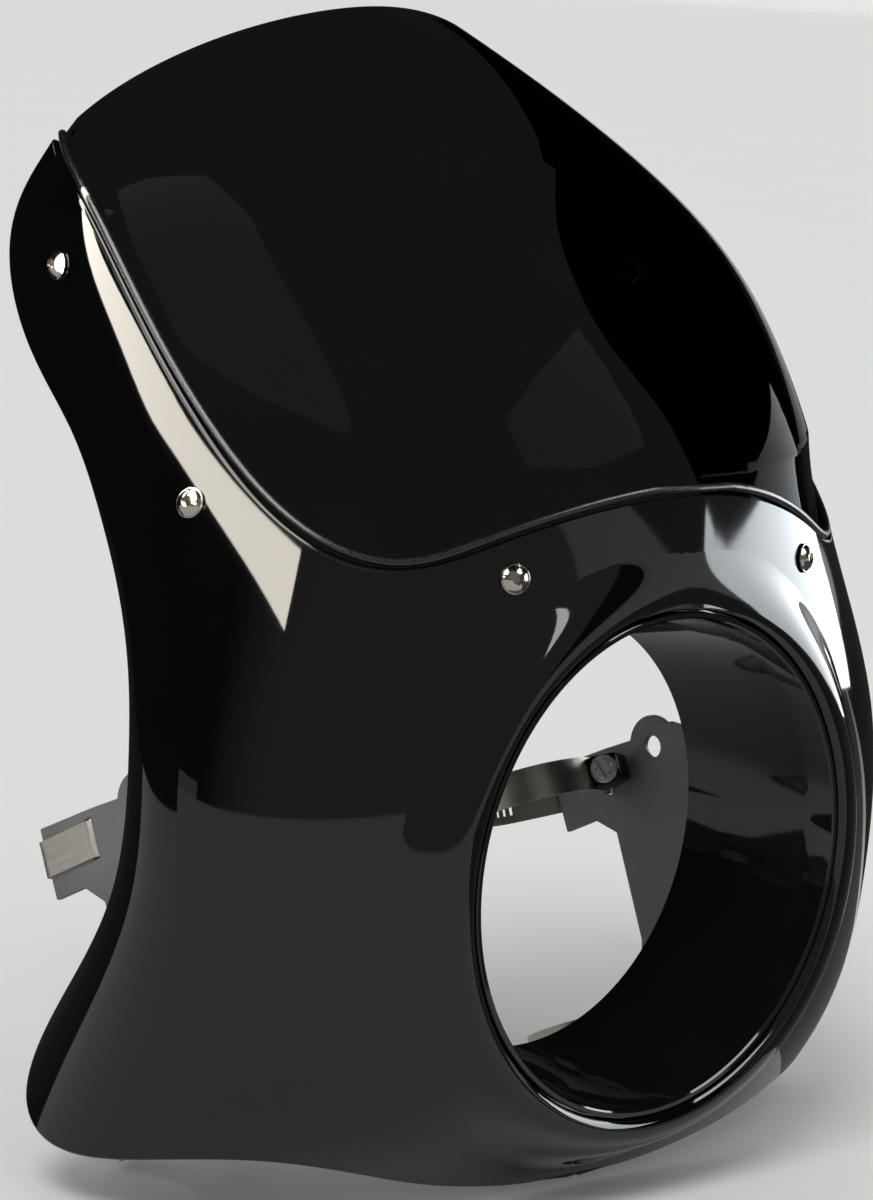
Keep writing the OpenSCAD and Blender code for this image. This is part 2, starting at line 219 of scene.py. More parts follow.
def line_through(name, points, closed=False):
    """A straight-edged curve through points in mm."""
    curve = bpy.data.curves.new(name, "CURVE")
    curve.dimensions = "3D"
    spline = curve.splines.new("POLY")
    spline.points.add(len(points) - 1)
    for dot, p in zip(spline.points, points):
        dot.co = (p[0] * MM, p[1] * MM, p[2] * MM, 1)
    spline.use_cyclic_u = closed
    line = bpy.data.objects.new(name, curve)
    bpy.context.collection.objects.link(line)
    return line


def outline_mesh(name, points):
    """A closed outline as a mesh, left in edit mode with all of it selected."""
    pick(line_through(name, points, closed=True))
    bpy.ops.object.convert(target="MESH")
    bpy.ops.object.mode_set(mode="EDIT")
    bpy.ops.mesh.select_all(action="SELECT")
    return bpy.context.object


def turned(name, profile, steps=128, axis=(0, 1, 0)):
    """Lathe work: a closed profile [radius, along] in mm, spun round an axis."""
    flat = [(r, y, 0) if axis == (0, 1, 0) else (r, 0, y) for r, y in profile]
    piece = outline_mesh(name, flat)
    bpy.ops.mesh.spin(steps=steps, angle=2 * math.pi, center=(0, 0, 0), axis=axis)
    bpy.ops.mesh.select_all(action="SELECT")
    bpy.ops.mesh.remove_doubles(threshold=1e-6)
    bpy.ops.mesh.normals_make_consistent(inside=False)
    bpy.ops.object.mode_set(mode="OBJECT")
    bpy.ops.object.shade_smooth_by_angle(angle=math.radians(35))
    return piece


def side_block(name, outline, far=300):
    """A block with a side view [y, z] in mm, pushed right across the fairing."""
    block = outline_mesh(name, [(-far, y, z) for y, z in outline])
    bpy.ops.mesh.edge_face_add()
    bpy.ops.mesh.extrude_region_move(TRANSFORM_OT_translate={"value": (2 * far * MM, 0, 0)})
    bpy.ops.mesh.select_all(action="SELECT")
    bpy.ops.mesh.normals_make_consistent(inside=False)
    bpy.ops.object.mode_set(mode="OBJECT")
    return block


def loft(name, heights, kind, taken_in, segments=176):
    """One oval, extruded from height to height and resized on the way."""
    middle, deep, half = section(heights, kind, taken_in)
    clear()
    bpy.ops.mesh.primitive_circle_add(vertices=segments, radius=MM, enter_editmode=True)
    bpy.ops.mesh.select_all(action="SELECT")
    bpy.ops.transform.resize(value=(half[0], deep[0], 1))
    bpy.ops.transform.translate(value=(0, middle[0] * MM, heights[0] * MM))
    for i in range(1, len(heights)):
        step = (0, (middle[i] - middle[i - 1]) * MM, (heights[i] - heights[i - 1]) * MM)
        bpy.ops.mesh.extrude_region_move(TRANSFORM_OT_translate={"value": step})
        bpy.ops.transform.resize(value=(half[i] / half[i - 1], deep[i] / deep[i - 1], 1),
                                 center_override=(0, middle[i] * MM, heights[i] * MM))
    bpy.ops.mesh.select_all(action="SELECT")
    bpy.ops.mesh.fill_holes(sides=0)
    bpy.ops.mesh.normals_make_consistent(inside=False)
    bpy.ops.object.mode_set(mode="OBJECT")
    piece = bpy.context.object
    piece.name = name
    return piece


def true_shading(piece, skins, angle=35):
    """Shades the faces that lie on a known skin by the skin's own direction."""
    pick(piece)
    bpy.ops.object.shade_smooth_by_angle(angle=math.radians(angle))
    mesh = piece.data
    corner = np.empty(len(mesh.loops) * 3)
    mesh.corner_normals.foreach_get("vector", corner)
    corner = corner.reshape(-1, 3)
    place = np.empty(len(mesh.vertices) * 3)
    mesh.vertices.foreach_get("co", place)
    vertex = np.empty(len(mesh.loops), int)
    mesh.loops.foreach_get("vertex_index", vertex)
    points = place.reshape(-1, 3)[vertex] / MM
    face = np.empty(len(mesh.polygons) * 3)
    mesh.polygons.foreach_get("normal", face)
    count = np.empty(len(mesh.polygons), int)
    mesh.polygons.foreach_get("loop_total", count)
    face = np.repeat(face.reshape(-1, 3), count, axis=0)
    for kind, taken_in, sign in skins:
        away, direction = square_to(points, kind, taken_in)
        direction = direction * sign
        on_skin = (abs(away) < 0.25) & ((direction * face).sum(axis=1) > 0.9)
        corner[on_skin] = direction[on_skin]
    mesh.normals_split_custom_set([tuple(n) for n in corner])
    return piece


def pushed(curve, by):
    """The same curve, moved sideways."""
    a, b = np.vstack([curve[:1], curve[:-1]]), np.vstack([curve[1:], curve[-1:]])
    d = (b - a) / np.linalg.norm(b - a, axis=1)[:, None]
    return curve + by * np.stack([d[:, 1], -d[:, 0]], axis=1)


# %% [markdown]
# ## The moulded shell
#
# The real shell is laid up or moulded in a female tool, so its face is one flowing
# surface with a wall of about 3 mm and a trimmed edge. It could be sculpted from a
# subdivided box, but reflections in gloss black show every uneven patch. A loft of
# ovals follows the section lines exactly: a circle is extruded from height to height
# and resized each time. A second, smaller loft hollows it, a block with the side view
# trims it, and its corners take their shading from the exact surface.

# %% Shell
EDGE_R = WALL / 2
RING_R, HOLE_MORE = 95.0, 1.5
LEVELS = np.linspace(-131, 257, 68)
HOLLOW_LEVELS = np.linspace(-140, 266, 70)
top_edge, rear_edge = pushed(top_curve, EDGE_R), pushed(rear_curve, EDGE_R)[3:]
shell_side = np.vstack([[(BEFORE_NOSE, EDGE_TOP[0][1] - EDGE_R)], top_edge,
                        rear_edge, [(BEFORE_NOSE, EDGE_REAR[-1][1] + EDGE_R)]])
shell = loft("shell_moulding", LEVELS, "shell", 0)
cut(shell, loft("hollow", HOLLOW_LEVELS, "shell", WALL, 168))
cut(shell, side_block("trim_block", shell_side), "INTERSECT")
clear()
bpy.ops.mesh.primitive_cylinder_add(vertices=192, radius=(RING_R + HOLE_MORE) * MM, depth=200 * MM,
                                    rotation=(math.pi / 2, 0, 0))
cut(shell, bpy.context.object)
print("shell faces:", len(shell.data.polygons))

# %% [markdown]
# The wall ends in a soft, full round where it was sanded after trimming. A bevel on
# thousands of small cut faces would be ragged, so a bead of exactly half the wall's
# thickness runs along the middle of the wall, all the way round the trimmed edge.

# %% Rounded edge of the shell
def even(path, step, closed=False):
    """The same path with dots at even distances."""
    if closed:
        path = np.vstack([path, path[:1]])
    along = np.concatenate([[0], np.cumsum(np.linalg.norm(np.diff(path, axis=0), axis=1))])
    n = int(along[-1] / step)
    where = np.linspace(0, along[-1], n + 1)[: n if closed else n + 1]
    return np.stack([np.interp(where, along, path[:, k]) for k in range(3)], axis=1)


def bead(name, path, radius, closed=False, sides=4):
    """A round bead of a given radius in mm along a path."""
    line = line_through(name, path, closed)
    line.data.bevel_depth = radius * MM
    line.data.bevel_resolution = sides
    line.data.use_fill_caps = not closed
    pick(line)
    bpy.ops.object.convert(target="MESH")
    bpy.ops.object.shade_smooth()
    return bpy.context.object


rim = np.vstack([top_edge, rear_edge])
rim = np.column_stack([reach(rim[:, 0], rim[:, 1], cut=EDGE_R), rim])
rim = rim[(rim[:, 0] > 1) | (rim[:, 2] < 0)]
low_z = EDGE_REAR[-1][1] + EDGE_R
middle, deep, half = section(low_z, cut=EDGE_R)
turn = np.arccos((middle - rim[-1][1]) / deep)
front = [(half * math.sin(a), middle - deep * math.cos(a), low_z) for a in np.linspace(turn, 0, 60)[1:]]
rim = np.vstack([rim, front])
rim = np.vstack([rim, (rim * [-1, 1, 1])[::-1][1:]])
shell_rim = bead("shell_rim", even(rim, 3, closed=True), EDGE_R, closed=True)
print("rim length:", round(float(np.linalg.norm(np.diff(rim, axis=0), axis=1).sum())), "mm")

# %% [markdown]
# ## The rolled lip and its collar
#
# The headlight opening ends in a rolled lip, thicker than the wall, and behind it a
# short collar takes the sleeve. Both are round, so their profile is drawn once and
# spun on a lathe. The profile has many small steps where it is round, because this
# lip carries the brightest highlight of the whole fairing.

# %% Lip
LIP_R, LIP_FRONT, COLLAR_REAR = 4.5, -3.0, 10.5
lip_middle = (RING_R + LIP_R, LIP_R + LIP_FRONT)
lip_profile = ([(RING_R, COLLAR_REAR), (RING_R + WALL, COLLAR_REAR), (RING_R + WALL, 5.0)]
               + [(lip_middle[0] + LIP_R * math.cos(a), lip_middle[1] + LIP_R * math.sin(a))
                  for a in (math.radians(d) for d in np.linspace(70, -180, 44))]
               + [(RING_R, 9.0)])
lip = turned("shell_lip", lip_profile, 192)
print("lip outside radius:", RING_R + 2 * LIP_R, "mm")

# %% [markdown]
# ## The flare round the lip
#
# On a real moulding the face does not stop at the lip, it flows up to it. A plain fillet
# would need clean edges where lathe work meets the loft, so a flat ring is turned on the
# lathe and each of its dots is moved: at the lip it lies on the lip's crest, at its outer
# edge on the shell's face, and in between it eases from one to the other.

# %% Flare
FLARE, PROUD, THINNEST = 22.0, 0.1, 0.8
crest = RING_R + LIP_R


def face_y(x, z):
    """Y in mm of the shell's outer face in front of [x, z]."""
    middle, deep, half = section(z)
    return float(middle - deep * np.sqrt(1 - (x / half) ** 2))


stops = [crest + FLARE * t for t in np.linspace(0, 1, 16)]
flare = turned("shell_flare", [(r, 0) for r in stops] + [(r, 1) for r in stops[::-1]], 192)
for v in flare.data.vertices:
    x, layer, z = v.co / MM
    t = (math.hypot(x, z) - crest) / FLARE
    face, ease = face_y(x, z), t * t * (3 - 2 * t)
    front = LIP_FRONT * (1 - ease) + (face + PROUD) * ease
    v.co.y = (front if layer < 0.5 else max(face + WALL / 2, front + THINNEST)) * MM
print("flare width:", FLARE, "mm")

# %% [markdown]
# ## Bosses inside the flanks
#
# The brackets are screwed to blind bosses on the shell's inner face. Moulded bosses
# taper towards their tip, so that they leave the tool, and have thin gussets at their
# root. One is built from a tapered cylinder and four thin blocks, trimmed with a loft
# that lies in the middle of the wall, and the others are made in the same way.

# %% Bosses
FORK = Vector((107, 177, -17))
RAKE = math.radians(27)
PLATE_X, PLATE_T = 27.5, 2.5
BOSSES = [(88, -17), (45, -80)]
BOSS_D, BOSS_SCREW_D, BOSS_SCREW_L = 16, 5, 18
BOSS_FLARE, GUSSET_T, GUSSET_W = 1.5, 2, 7


def fork_point(out, fore, along):
    """A point of the fork leg's frame, outboard, forward and up the tube, in part mm."""
    return Vector((FORK.x + out, FORK.y - fore * math.cos(RAKE) + along * math.sin(RAKE),
                   FORK.z + fore * math.sin(RAKE) + along * math.cos(RAKE)))


def boss(index, side):
    """One boss with its bore and gussets; side is 1 for the right and -1 for the left."""
    start = fork_point(PLATE_X + PLATE_T, *BOSSES[index])
    length = float(reach(start.y, start.z)) + BOSS_D / 2 - start.x
    clear()
    bpy.ops.mesh.primitive_cone_add(vertices=64, radius1=BOSS_D / 2 * MM, depth=length * MM,
                                    radius2=(BOSS_D / 2 + BOSS_FLARE) * MM, rotation=(0, math.pi / 2, 0),
                                    location=(start + Vector((length / 2, 0, 0))) * MM)
    post = apply_place(bpy.context.object)
    clear()
    bpy.ops.mesh.primitive_cylinder_add(vertices=40, radius=(BOSS_SCREW_D / 2 + 0.2) * MM,
                                        depth=2 * BOSS_SCREW_L * MM, rotation=(0, math.pi / 2, 0),
                                        location=start * MM)
    cut(post, bpy.context.object)
    for a in range(4):
        clear()
        bpy.ops.mesh.primitive_cube_add(size=MM)
        rib = bpy.context.object
        bpy.ops.transform.resize(value=(length * 0.65, GUSSET_T, GUSSET_W))
        bpy.ops.transform.translate(value=(0, 0, (BOSS_D / 2 + 2.5) * MM))
        apply_place(rib)
        rib.rotation_euler = (math.radians(45 + 90 * a), 0, 0)
        rib.location = (start + Vector((length * 0.675, 0, 0))) * MM
        cut(post, apply_place(rib), "UNION")
    cut(post, loft("flank", LEVELS, "shell", WALL / 2, 120), "INTERSECT")
    if side < 0:
        pick(post)
        bpy.ops.transform.resize(value=(-1, 1, 1), center_override=(0, 0, 0))
        apply_place(post)
        bpy.ops.object.mode_set(mode="EDIT")
        bpy.ops.mesh.select_all(action="SELECT")
        bpy.ops.mesh.normals_make_consistent(inside=False)
        bpy.ops.object.mode_set(mode="OBJECT")
    post.name = f"shell_boss_{index}_{'right' if side > 0 else 'left'}"
    pick(post)
    bpy.ops.object.shade_smooth_by_angle(angle=math.radians(35))
    return post


bosses = [boss(i, s) for i in (0, 1) for s in (1, -1)]
print("bosses:", len(bosses))

# %% [markdown]
# ## Screw places
#
# Six button-head screws hold the windshield. Each sits square to the shell, in a hole
# that is drilled through it, so its direction comes from the surface's own formula.

# %% Where the screws go
SCREWS = [(178, 203), (96, 127), (11, 109)]
SHANK_D, SHANK_PLAY = 6.3, 0.35
HOLE_R = SHANK_D / 2 + SHANK_PLAY


def screw_frame(y, z, side):
    """A place on the shell's face at [y, z], with its Z square to the face."""
    p = np.array([float(reach(y, z)), y, z])
    out = square_to(p)[1][0]
    p, out = p * [side, 1, 1], out * [side, 1, 1]
    turn = Vector(out).to_track_quat("Z", "Y").to_matrix().to_4x4()
    return Matrix.Translation(Vector(p) * MM) @ turn


frames = [screw_frame(y, z, side) for y, z in SCREWS for side in (1, -1)]


def drill(radius, long_by=0.0):
    """Round or slotted drills at all six screw places, joined to one tool."""
    drills = []
    for place in frames:
        clear()
        bpy.ops.mesh.primitive_cylinder_add(vertices=40, radius=radius * MM, depth=40 * MM)
        tool = bpy.context.object
        tool.data.transform(Matrix.Diagonal((1, 1 + long_by / radius, 1, 1)))
        tool.matrix_world = place
        drills.append(tool)
    clear()
    for tool in drills:
        tool.select_set(True)
    bpy.context.view_layer.objects.active = drills[0]
    bpy.ops.object.join()
    return apply_place(bpy.context.object)


cut(shell, drill(HOLE_R))
true_shading(shell, [("shell", 0, 1), ("shell", WALL, -1)])
print("screw holes:", len(frames))

# %% [markdown]
# ## The smoked windshield
#
# A windshield like this is one acrylic sheet, warmed and blown or draped over a form,
# then trimmed. Its bubble runs down behind the shell's upper edge, where the screws
# hold it. It could be a single skin with a Solidify modifier, but where the bubble
# meets the seat the sheet turns, and two lofts give that for nothing: what is inside
# both the bubble and the shell's inner face, less the same taken in by the sheet's
# own thickness.

# %% Windshield
heights = np.linspace(70, 318, 84)


def sheet_form(taken_in):
    """The bubble where it lies inside the shell's seat, taken in by a wall in mm."""
    overshoot = np.linspace(-1, 1, len(heights)) if taken_in else 0
    form = loft("bubble_form", heights + overshoot, "shield", taken_in)
    seat = loft("seat_form", np.linspace(60, 330, 60), "shell", WALL + SEAT + taken_in, 168)
    return cut(form, seat, "INTERSECT")


FLANGE_W, FLANGE_DOTS, CORNER_DROP = 18, 73, 6
flange = pushed(top_curve, FLANGE_W)
flange = flange[flange[:, 0] > -40][:FLANGE_DOTS]
shield_side = np.vstack([[(BEFORE_NOSE, flange[0][1])], flange, [top_curve[-1] - (0, CORNER_DROP)],
                         free_curve, [(BEFORE_NOSE, free_curve[-1][1])]])
windshield = sheet_form(0)
cut(windshield, side_block("shield_block", shield_side), "INTERSECT")
cut(windshield, sheet_form(SHEET))
cut(windshield, drill(HOLE_R, long_by=1.5))
windshield.name = "windshield_sheet"
true_shading(windshield, [("shield", 0, 1), ("shield", SHEET, -1),
                          ("shell", WALL + SEAT, 1), ("shell", WALL + SEAT + SHEET, -1)])
print("windshield faces:", len(windshield.data.polygons))

# %% [markdown]
# ## The rubber bead under the windshield
#
# A soft black bead closes the gap between the shell's edge and the sheet. It is an
# extruded profile pushed on by hand, so it is one bead along the edge, a little below
# the shell's face.

# %% Edge bead
BEAD_R, BEAD_ABOVE, BEAD_IN = 1.6, 1.9, 1.5
line = pushed(top_curve, -BEAD_ABOVE)
line = np.column_stack([reach(line[:, 0], line[:, 1], cut=BEAD_IN), line])
line = line[line[:, 0] > 0.5]
middle, deep, _ = section(line[0][2], cut=BEAD_IN)
line = np.vstack([[(0, middle - deep, line[0][2] + 0.05)], line])
whole = np.vstack([(line * [-1, 1, 1])[::-1][:-1], line])
edge_bead = bead("edge_bead", even(whole, 2.5), BEAD_R, sides=5)
print("bead length:", round(float(np.linalg.norm(np.diff(whole, axis=0), axis=1).sum())), "mm")

# %% [markdown]
# ## The headlight sleeve
#
# Behind the lip a turned or spun sleeve narrows towards the lamp's bowl. It is one
# profile on the lathe. Its front edge stays half a millimetre inside the collar, which
# gives the thin dark line that the photograph shows all round the lip.

# %% Sleeve
r_out, r_rear, wall_t, seat_y, rear_y = RING_R - SEAT, 168.6 / 2, 2.5, COLLAR_REAR, 68.5
sleeve = turned("sleeve_wall", [(r_out - wall_t, -0.4), (r_out - wall_t + 0.6, -1.0), (r_out - 0.4, -1.0),
                                (r_out, -0.6), (r_out, seat_y), (r_rear + wall_t, rear_y - 0.5),
                                (r_rear + wall_t - 0.5, rear_y), (r_rear + 0.5, rear_y),
                                (r_rear, rear_y - 0.5), (r_out - wall_t - 0.4, seat_y + 3),
                                (r_out - wall_t, seat_y - 2)], 192)
print("sleeve length:", rear_y + 1.0, "mm")

# %% [markdown]
# ## Button-head screws
#
# A button head is a low dome with a hexagon socket, and below it a rolled thread. The
# dome and the thread are turned on the lathe as one profile. The socket is cut with a
# six-sided bar, and its rim gets a small bevel, which is what sparkles in a photograph.
# One screw is made, then copied to the six places with a mesh of its own each.

# %% Button screws
HEAD_D, HEAD_H, SOCKET, SCREW_L = 11.1, 3.4, 4.0, 17.0
SOCKET_DEEP, CREST_R, ROOT_R, PITCH = 2.0, 3.1, 2.7, 1.0
dome = ((HEAD_D / 2) ** 2 + HEAD_H ** 2) / (2 * HEAD_H)
low_edge = 0.9
profile = [(0, HEAD_H)]
for a in np.linspace(0, math.asin((HEAD_D / 2 - 0.25) / dome), 14)[1:]:
    profile.append((dome * math.sin(a), max(low_edge, HEAD_H - dome + dome * math.cos(a))))
profile += [(HEAD_D / 2, low_edge - 0.2), (HEAD_D / 2, 0.3), (HEAD_D / 2 - 0.3, 0.0), (SHANK_D / 2, 0.0)]
z = -0.6
while z > -SCREW_L + 1:
    profile += [(CREST_R, z), (ROOT_R, z - PITCH / 2)]
    z -= PITCH
profile += [(2.6, -SCREW_L + 0.4), (2.2, -SCREW_L), (0, -SCREW_L)]
master = turned("button_screw", profile, 48, axis=(0, 0, 1))
clear()
bpy.ops.mesh.primitive_cylinder_add(vertices=6, radius=SOCKET / 2 / math.cos(math.pi / 6) * MM,
                                    depth=2 * SOCKET_DEEP * MM, location=(0, 0, HEAD_H * MM))
cut(master, apply_place(bpy.context.object))
clear()
bpy.ops.mesh.primitive_cone_add(vertices=6, radius1=0.2 * MM, radius2=2.9 * MM, depth=2.7 * MM,
                                location=(0, 0, (HEAD_H + 0.1) * MM))
cut(master, apply_place(bpy.context.object))
pick(master)
bpy.ops.object.shade_smooth_by_angle(angle=math.radians(30))


def copies(master, places, name):
    """Copies of a piece at the given places, each with its own mesh, then the master goes."""
    made = []
    for i, place in enumerate(places):
        copy = master.copy()
        copy.data = master.data.copy()
        bpy.context.collection.objects.link(copy)
        copy.data.transform(place)
        if place.determinant() < 0:
            copy.data.flip_normals()
        copy.name = f"{name}_{i + 1}"
        made.append(copy)
    bpy.data.objects.remove(master)
    return made


LIFT = Matrix.Translation((0, 0, 0.2 * MM))
TURNS = [0.2, 0.9, 1.4, 0.5, 0.1, 1.1]
seats = [place @ LIFT @ Matrix.Rotation(turn, 4, "Z") for place, turn in zip(frames, TURNS)]
screws = copies(master, seats, "button_screw")
print("button screws:", len(screws))

# %% [markdown]
# ## Perforated clamp bands
#
# The fork clamps are worm-drive bands: stainless strip with a row of slots, in which
# the worm bites. The strip starts as a flat grid, the slots are the faces that are
# taken out, and Solidify gives it its thickness. Then it is wrapped, dot by dot, round
# a loop like a letter D: an arc round the tube and two straight runs to the bracket.

# %% Clamp bands
TUBE_R, BAND_W, BAND_T, SLOT_AT, STRAP_X, CLAMP_GAP = 27.0, 14.0, 1.0, 15.0, 30.2, 105.0
SLOT_PITCH, SLOT_HALF, SLOT_LEAN = 3.2, 3.6, 0.35
LOOP_A = math.atan2(SLOT_AT, STRAP_X) + math.acos(TUBE_R / math.hypot(STRAP_X, SLOT_AT))
mitre = np.array([1 + math.cos(LOOP_A), math.sin(LOOP_A)]) / (1 + math.cos(LOOP_A))
corner = np.array([STRAP_X, SLOT_AT]) + BAND_T / 2 * mitre
arc = np.linspace(LOOP_A, 2 * math.pi - LOOP_A, 200)
round_part = (TUBE_R + BAND_T / 2) * np.column_stack([np.cos(arc), np.sin(arc)])
loop = np.vstack([[corner], round_part, [corner * [1, -1]]])
loop = even(np.column_stack([loop, np.zeros(len(loop))]), 0.4, closed=True)[:, :2]
for _ in range(4):
    loop = (np.roll(loop, 1, 0) + loop + np.roll(loop, -1, 0)) / 3
LOOP_LENGTH = float(np.linalg.norm(np.roll(loop, -1, 0) - loop, axis=1).sum())
cells = 2 * int(LOOP_LENGTH / SLOT_PITCH)
clear()
bpy.ops.mesh.primitive_grid_add(x_subdivisions=cells, y_subdivisions=3, size=1, enter_editmode=True)
bpy.ops.mesh.select_all(action="SELECT")
bpy.ops.transform.resize(value=(LOOP_LENGTH * MM, BAND_W * MM, 1))
strip = bpy.context.object
bpy.ops.object.mode_set(mode="OBJECT")
for v in strip.data.vertices:
    if abs(v.co.y) < BAND_W / 4 * MM:
        v.co.y *= SLOT_HALF / (BAND_W / 6)
        v.co.x += SLOT_LEAN * MM * (1 if v.co.y > 0 else -1)
bpy.context.tool_settings.mesh_select_mode = (False, False, True)
for f in strip.data.polygons:
    along = f.center.x / LOOP_LENGTH / MM + 0.5
    every_second = int(along * cells) % 2 == 0
    f.select = abs(f.center.y) < 1 * MM and every_second and 0.45 < along < 0.72
bpy.ops.object.mode_set(mode="EDIT")
bpy.ops.mesh.delete(type="FACE")
bpy.ops.object.mode_set(mode="OBJECT")
thick = strip.modifiers.new("thickness", "SOLIDIFY")
thick.thickness, thick.offset = BAND_T * MM, 0
bpy.ops.object.modifier_apply(modifier="thickness")

dot = np.empty(len(strip.data.vertices) * 3)
strip.data.vertices.foreach_get("co", dot)
dot = dot.reshape(-1, 3) / MM
where = (dot[:, 0] + LOOP_LENGTH / 2) / LOOP_LENGTH * len(loop)
i = np.floor(where).astype(int)
f = (where - i)[:, None]
ahead, behind = loop[(i + 1) % len(loop)], loop[i % len(loop)]
d = loop[(i + 2) % len(loop)] - loop[(i - 1) % len(loop)]
d = d / np.linalg.norm(d, axis=1)[:, None]
flat = behind * (1 - f) + ahead * f + dot[:, 2:3] * np.column_stack([d[:, 1], -d[:, 0]])
wrapped = np.column_stack([flat, dot[:, 1]]) * MM
strip.data.vertices.foreach_set("co", wrapped.ravel())
pick(strip)
bpy.ops.object.mode_set(mode="EDIT")
bpy.ops.mesh.select_all(action="SELECT")
bpy.ops.mesh.remove_doubles(threshold=0.02 * MM)
bpy.ops.mesh.normals_make_consistent(inside=False)
bpy.ops.object.mode_set(mode="OBJECT")
bpy.ops.object.shade_smooth_by_angle(angle=math.radians(30))


def leg_frame(side, down):
    """Frame of a fork leg: X outboard, Y forward, Z up the tube, for the copies."""
    m = Matrix(((side, 0, 0, side * FORK.x * MM),
                (0, -math.cos(RAKE), math.sin(RAKE), FORK.y * MM),
                (0, math.sin(RAKE), math.cos(RAKE), FORK.z * MM),
                (0, 0, 0, 1)))
    return m @ Matrix.Translation((0, 0, -down * MM))


CLAMPS = [("upper", "right", 1, 0), ("upper", "left", -1, 0),
          ("lower", "right", 1, CLAMP_GAP), ("lower", "left", -1, CLAMP_GAP)]
bands = copies(strip, [leg_frame(s, d) for _, _, s, d in CLAMPS], "clamp_band")
print("bands:", len(bands), "with a loop of", round(LOOP_LENGTH, 1), "mm")

# %% [markdown]
# ## Worm housings and their screws
#
# The housing is a small pressed block over the band, and the worm lies in it along
# the band. Its screw has a flanged hexagon head. The block is a cube with bevelled
# edges that is bored through, the worm has turned ridges, and the head is a hexagon
# with a slot, chamfered at its top like a real bolt.

# %% Worm housings and screws
HOUSE_L, HOUSE_H, HOUSE_LIFT = 14.0, 12.0, 0.2
WORM_CREST, WORM_ROOT, COLLAR_R, HEAD_TOP = HOUSE_H / 2 - 1.2, HOUSE_H / 2 - 2.4, 5.8, 4.6
run_a = (TUBE_R + BAND_T) * np.array([math.cos(LOOP_A), math.sin(LOOP_A)])
run_b = np.array([STRAP_X, SLOT_AT]) + BAND_T * mitre
run = (run_a - run_b) / np.linalg.norm(run_a - run_b)
out = np.array([run[1], -run[0]])
out = out if out @ run_a > 0 else -out
worm_on = (STRAP_X + BAND_T - PLATE_X + SEAT + HOUSE_H * abs(out[0])) / abs(run[0])
worm_at = run_b + run * (HOUSE_L / 2 + worm_on) + out * (HOUSE_H / 2 + HOUSE_LIFT)
on_run = Matrix(((run[0], out[0], 0, worm_at[0] * MM), (run[1], out[1], 0, worm_at[1] * MM),
                 (0, 0, 1, 0), (0, 0, 0, 1)))

clear()
bpy.ops.mesh.primitive_cube_add(size=MM)
house = bpy.context.object
bpy.ops.transform.resize(value=(HOUSE_L, HOUSE_H, BAND_W))
apply_place(house)
for v in house.data.vertices:
    if v.co.y > 0:
        v.co.z *= 0.82
soft = house.modifiers.new("soft", "BEVEL")
soft.width, soft.segments, soft.limit_method = 1.6 * MM, 4, "ANGLE"
bpy.ops.object.modifier_apply(modifier="soft")
clear()
bpy.ops.mesh.primitive_cylinder_add(vertices=48, radius=(HOUSE_H / 2 - 1) * MM, depth=30 * MM,
                                    rotation=(0, math.pi / 2, 0))
cut(house, apply_place(bpy.context.object))
pick(house)
bpy.ops.object.shade_smooth_by_angle(angle=math.radians(35))

profile = [(0, -HOUSE_L / 2)]
z = -HOUSE_L / 2
while z < HOUSE_L / 2 - 2:
    profile += [(WORM_ROOT, z), (WORM_CREST, z + 0.8), (WORM_CREST, z + 1.2)]
    z += 2.0
top = HOUSE_L / 2 + 0.2
profile += [(HOUSE_H / 2 - 1.4, top - 0.6), (HOUSE_H / 2 - 1.4, top), (COLLAR_R - 0.3, top),
            (COLLAR_R, top + 0.3), (COLLAR_R, top + 1.0), (COLLAR_R - 0.6, top + 1.4), (0, top + 1.4)]
worm = turned("worm_screw", profile, 64, axis=(0, 0, 1))
clear()
bpy.ops.mesh.primitive_cylinder_add(vertices=6, radius=8 / 2 / math.cos(math.pi / 6) * MM, depth=3.4 * MM,
                                    location=(0, 0, (top + 1.2 + 1.7) * MM))
head = apply_place(bpy.context.object)
clear()
bpy.ops.mesh.primitive_cone_add(vertices=64, radius1=9.0 * MM, radius2=2.9 * MM, depth=6.4 * MM,
                                location=(0, 0, (top + HEAD_TOP - 2.2) * MM))
cut(head, apply_place(bpy.context.object), "INTERSECT")
clear()
bpy.ops.mesh.primitive_cube_add(size=MM, location=(0, 0, (top + HEAD_TOP - 0.4) * MM))
slot_tool = bpy.context.object
bpy.ops.transform.resize(value=(20, 1.2, 2.4))
cut(head, apply_place(slot_tool))
cut(worm, head, "UNION")
pick(worm)
bpy.ops.object.shade_smooth_by_angle(angle=math.radians(30))
along_run = on_run @ Matrix.Rotation(math.pi / 2, 4, "Y")
housings = copies(house, [leg_frame(s, d) @ on_run for _, _, s, d in CLAMPS], "worm_housing")
worms = copies(worm, [leg_frame(s, d) @ along_run @ Matrix.Rotation(0.3 + i, 4, "Z")
                      for i, (_, _, s, d) in enumerate(CLAMPS)], "worm_screw")
print("worm drives:", len(worms))

# %% [markdown]
# ## Brackets, nuts and washers from the frame
#
# These plain pressed and turned parts already have the right shape in the CAD model.
# What they lack is the small rounding that every cut edge has, and that catches the
# light. A copy of each is merged, its flat faces are cleaned, and it gets a bevel.

